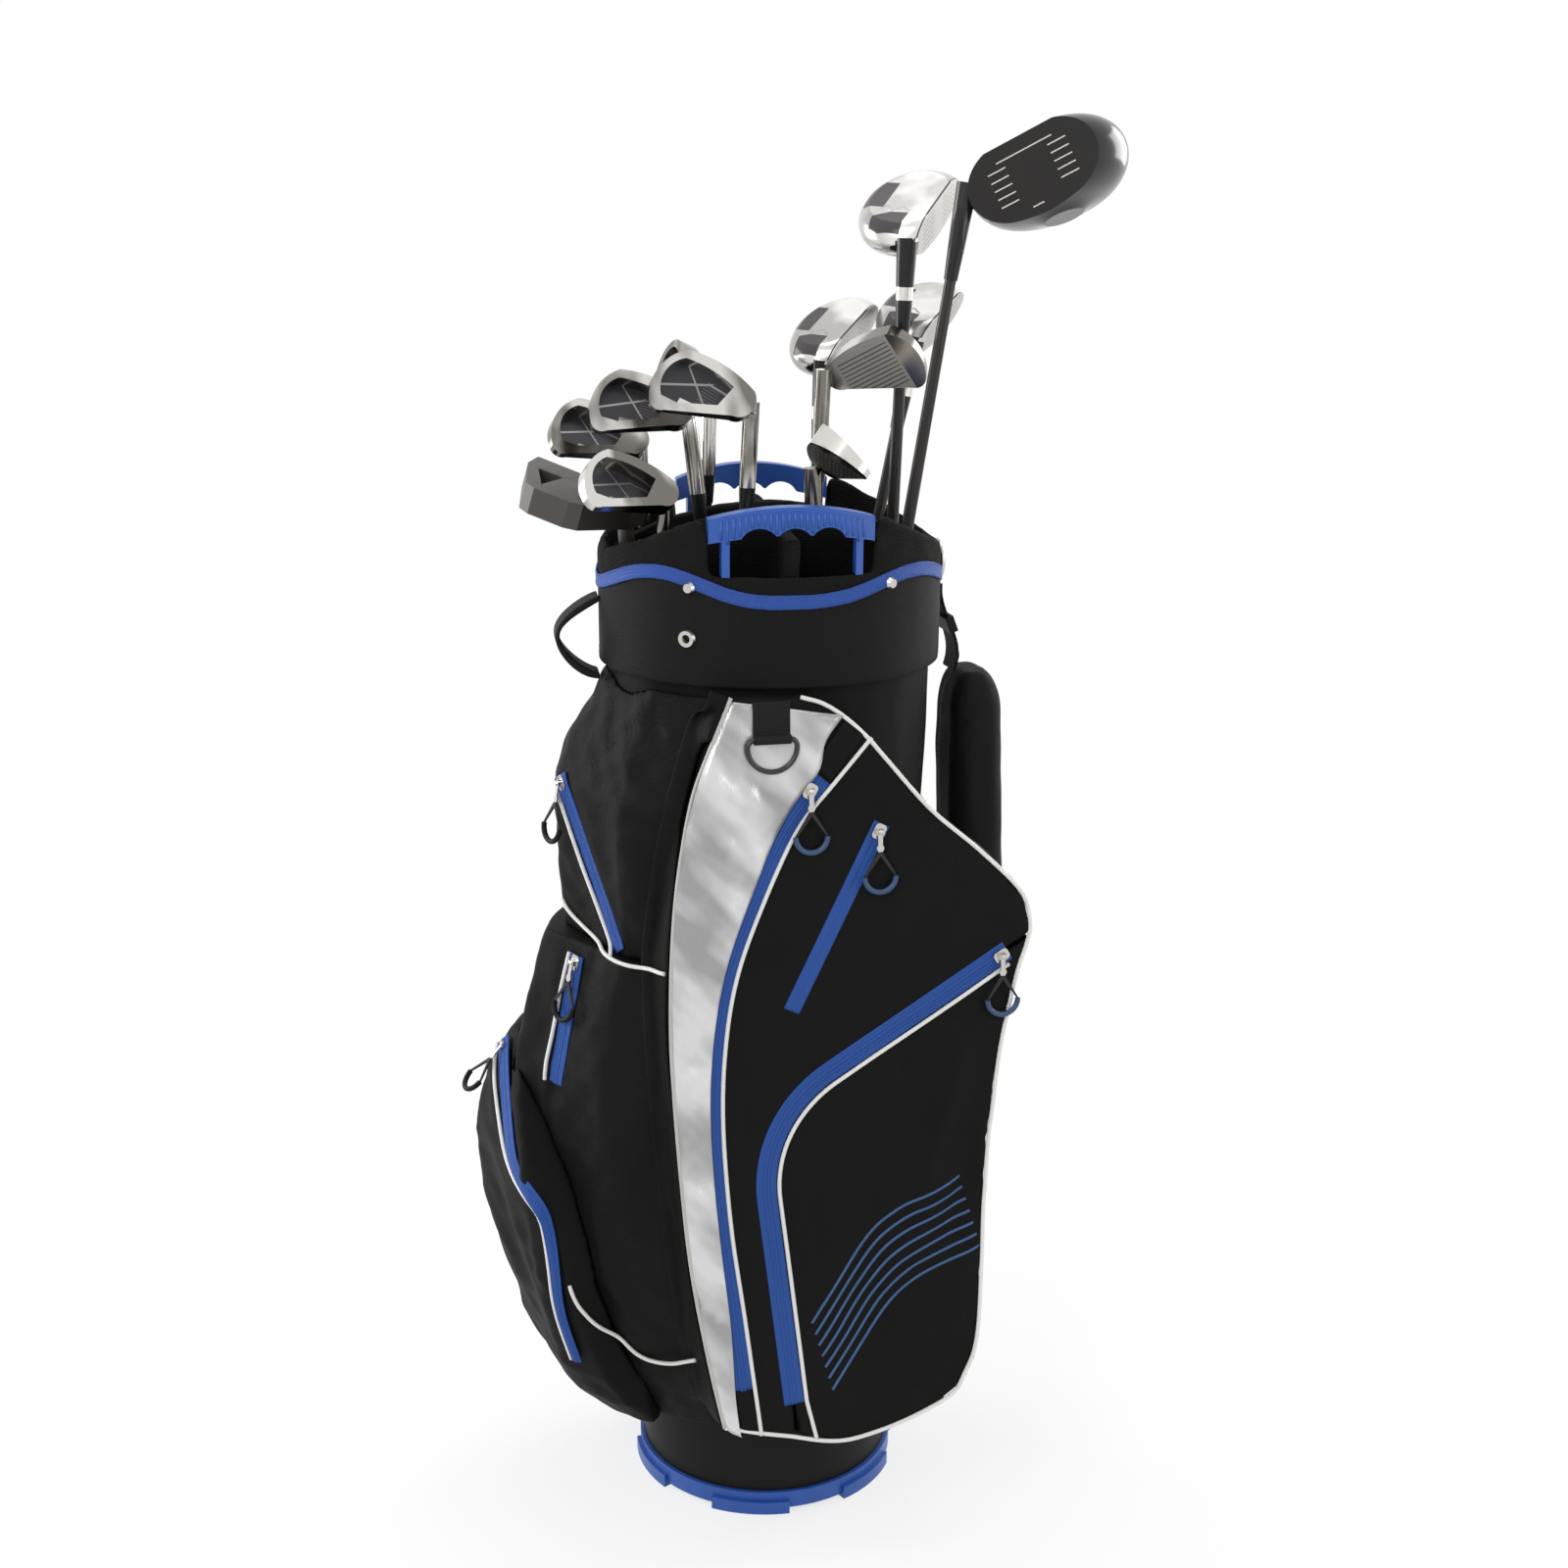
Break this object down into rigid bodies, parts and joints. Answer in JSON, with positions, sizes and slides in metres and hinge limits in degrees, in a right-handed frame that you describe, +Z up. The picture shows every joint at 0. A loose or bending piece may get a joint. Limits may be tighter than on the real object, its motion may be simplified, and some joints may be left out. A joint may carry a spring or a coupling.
{
  "type": "golf club set",
  "caption": "Cart-style golf bag with divided top, zipped pockets, carry handles and shoulder strap, holding woods, hybrids, irons and a mallet putter.",
  "frame": {"origin": "centre of the foot ring on the ground", "axes": "+Z up the bag, -Y out of the front pocket, +X to the shoulder strap side"},
  "size_m": [0.5468, 0.3259, 1.1939],
  "materials": {
    "bag_cloth": "black woven polyester, semi-matt",
    "pocket_cloth": "black woven polyester, semi-matt",
    "zip_tape": "blue zip tape",
    "blue_trim": "blue woven trim",
    "black_webbing": "black webbing and padding",
    "black_plastic": "moulded black plastic",
    "blue_plastic": "moulded blue plastic",
    "bright_metal": "bright nickel plating",
    "pull_plastic": "dark moulded plastic",
    "dark_ring": "black enamelled wire",
    "wood_shell": "dark paint and polished sole",
    "iron_metal": "chrome plating",
    "putter_metal": "matt black",
    "club_shaft": "rubber grip, shaft and ferrule"
  },
  "bodies": {
    "bag": {"bag_tube": "bag_cloth", "ball_pocket": "pocket_cloth", "base_cup": "black_plastic", "cuff_band": "bag_cloth", "divider_frame": "black_plastic", "foot_ring": "blue_plastic", "front_handle": "blue_plastic", "front_pocket": "pocket_cloth", "front_zips": "zip_tape", "left_zips": "zip_tape", "lower_left_pocket": "pocket_cloth", "middle_left_pocket": "pocket_cloth", "rear_handle": "blue_plastic", "rim_collar": "black_plastic", "rivets_and_studs": "bright_metal", "side_handle": "black_webbing", "strap_buckle": "black_plastic", "strap_pad": "black_webbing", "strap_ring": "bright_metal", "strap_webbing": "black_webbing", "towel_loop": "black_webbing", "trim_band": "blue_trim", "upper_left_pocket": "pocket_cloth"},
    "driver": {"driver_head": "wood_shell", "driver_shaft": "club_shaft"},
    "fairway_wood": {"fairway_wood_head": "wood_shell", "fairway_wood_shaft": "club_shaft"},
    "long_hybrid": {"long_hybrid_head": "wood_shell", "long_hybrid_shaft": "club_shaft"},
    "short_hybrid": {"short_hybrid_head": "wood_shell", "short_hybrid_shaft": "club_shaft"},
    "four_iron": {"four_iron_head": "iron_metal", "four_iron_shaft": "club_shaft"},
    "sand_wedge": {"sand_wedge_head": "iron_metal", "sand_wedge_shaft": "club_shaft"},
    "six_iron": {"six_iron_head": "iron_metal", "six_iron_shaft": "club_shaft"},
    "seven_iron": {"seven_iron_head": "iron_metal", "seven_iron_shaft": "club_shaft"},
    "five_iron": {"five_iron_head": "iron_metal", "five_iron_shaft": "club_shaft"},
    "gap_wedge": {"gap_wedge_head": "iron_metal", "gap_wedge_shaft": "club_shaft"},
    "pitching_wedge": {"pitching_wedge_head": "iron_metal", "pitching_wedge_shaft": "club_shaft"},
    "putter": {"putter_head": "putter_metal", "putter_shaft": "club_shaft"},
    "long_zip_slider": {"long_zip_slider": "bright_metal"},
    "long_zip_pull": {"long_zip_pull": "pull_plastic"},
    "valuables_zip_slider": {"valuables_zip_slider": "bright_metal"},
    "valuables_zip_pull": {"valuables_zip_pull": "pull_plastic"},
    "ball_zip_slider": {"ball_zip_slider": "bright_metal"},
    "ball_zip_pull": {"ball_zip_pull": "pull_plastic"},
    "upper_left_zip_slider": {"upper_left_zip_slider": "bright_metal"},
    "upper_left_zip_pull": {"upper_left_zip_pull": "pull_plastic"},
    "middle_left_zip_slider": {"middle_left_zip_slider": "bright_metal"},
    "middle_left_zip_pull": {"middle_left_zip_pull": "pull_plastic"},
    "lower_left_zip_slider": {"lower_left_zip_slider": "bright_metal"},
    "lower_left_zip_pull": {"lower_left_zip_pull": "pull_plastic"},
    "towel_ring": {"towel_ring": "dark_ring"}
  },
  "joints": [
    {"name": "driver_slide", "type": "slide", "parent": "bag", "child": "driver", "axis": [0.1581, 0.0222, 0.9872], "range_m": [0, 0.7]},
    {"name": "fairway_wood_slide", "type": "slide", "parent": "bag", "child": "fairway_wood", "axis": [0.0285, -0.0095, 0.9996], "range_m": [0, 0.75]},
    {"name": "long_hybrid_slide", "type": "slide", "parent": "bag", "child": "long_hybrid", "axis": [0.1942, 0.0395, 0.9802], "range_m": [0, 0.074]},
    {"name": "short_hybrid_slide", "type": "slide", "parent": "bag", "child": "short_hybrid", "axis": [0.0515, -0.0077, 0.9986], "range_m": [0, 0.97]},
    {"name": "four_iron_slide", "type": "slide", "parent": "bag", "child": "four_iron", "axis": [0.0379, -0.0036, 0.9993], "range_m": [0, 0.95]},
    {"name": "sand_wedge_slide", "type": "slide", "parent": "bag", "child": "sand_wedge", "axis": [-0.0361, -0.0391, 0.9986], "range_m": [0, 0.85]},
    {"name": "six_iron_slide", "type": "slide", "parent": "bag", "child": "six_iron", "axis": [0.0474, 0.0018, 0.9989], "range_m": [0, 0.85]},
    {"name": "seven_iron_slide", "type": "slide", "parent": "bag", "child": "seven_iron", "axis": [-0.1073, 0.0306, 0.9938], "range_m": [0, 0.85]},
    {"name": "five_iron_slide", "type": "slide", "parent": "bag", "child": "five_iron", "axis": [0.0326, -0.0065, 0.9994], "range_m": [0, 0.85]},
    {"name": "gap_wedge_slide", "type": "slide", "parent": "bag", "child": "gap_wedge", "axis": [-0.003, -0.0184, 0.9998], "range_m": [0, 0.04]},
    {"name": "pitching_wedge_slide", "type": "slide", "parent": "bag", "child": "pitching_wedge", "axis": [-0.016, 0.0213, 0.9996], "range_m": [0, 0.95]},
    {"name": "putter_slide", "type": "slide", "parent": "bag", "child": "putter", "axis": [-0.0308, 0, 0.9995], "range_m": [0, 0.012]},
    {"name": "long_zip_run", "type": "hinge", "parent": "bag", "child": "long_zip_slider", "pos_m": [0.53973, -0.13061, 0.36268], "axis": [0.0695, -0.9945, 0.0785], "range_deg": [0, 48.48]},
    {"name": "long_zip_pull_hinge", "type": "hinge", "parent": "long_zip_slider", "child": "long_zip_pull", "pos_m": [0.01103, -0.14923, 0.67812], "axis": [-0.9976, -0.0698, 0], "range_deg": [0, 120]},
    {"name": "valuables_zip_run", "type": "slide", "parent": "bag", "child": "valuables_zip_slider", "axis": [-0.4436, -0.1013, -0.8905], "range_m": [0, 0.155]},
    {"name": "valuables_zip_pull_hinge", "type": "hinge", "parent": "valuables_zip_slider", "child": "valuables_zip_pull", "pos_m": [0.06757, -0.14812, 0.64196], "axis": [-0.9976, -0.0698, 0], "range_deg": [0, 120]},
    {"name": "ball_zip_run", "type": "slide", "parent": "bag", "child": "ball_zip_slider", "axis": [-0.8522, -0.1001, -0.5135], "range_m": [0, 0.1637]},
    {"name": "ball_zip_pull_hinge", "type": "hinge", "parent": "ball_zip_slider", "child": "ball_zip_pull", "pos_m": [0.17228, -0.14958, 0.53076], "axis": [-0.9976, -0.0698, 0], "range_deg": [0, 120]},
    {"name": "upper_left_zip_run", "type": "slide", "parent": "bag", "child": "upper_left_zip_slider", "axis": [0.2594, -0.4846, -0.8354], "range_m": [0, 0.122]},
    {"name": "upper_left_zip_pull_hinge", "type": "hinge", "parent": "upper_left_zip_slider", "child": "upper_left_zip_pull", "pos_m": [-0.18155, -0.03075, 0.65842], "axis": [-0.4326, 0.9016, 0], "range_deg": [0, 108]},
    {"name": "middle_left_zip_run", "type": "slide", "parent": "bag", "child": "middle_left_zip_slider", "axis": [-0.1784, -0.0619, -0.982], "range_m": [0, 0.088]},
    {"name": "middle_left_zip_pull_hinge", "type": "hinge", "parent": "middle_left_zip_slider", "child": "middle_left_zip_pull", "pos_m": [-0.17533, -0.06581, 0.51259], "axis": [-0.5388, 0.8424, 0], "range_deg": [0, 116]},
    {"name": "lower_left_zip_run", "type": "slide", "parent": "bag", "child": "lower_left_zip_slider", "axis": [-0.0034, -0.7731, -0.6343], "range_m": [0, 0.1121]},
    {"name": "lower_left_zip_pull_hinge", "type": "hinge", "parent": "lower_left_zip_slider", "child": "lower_left_zip_pull", "pos_m": [-0.2326, 0.00608, 0.41256], "axis": [-0.2711, 0.9625, 0], "range_deg": [0, 94]},
    {"name": "towel_ring_hinge", "type": "hinge", "parent": "bag", "child": "towel_ring", "pos_m": [-0.01989, -0.14557, 0.72133], "axis": [-0.9976, -0.0698, 0], "range_deg": [0, 165]}
  ]
}
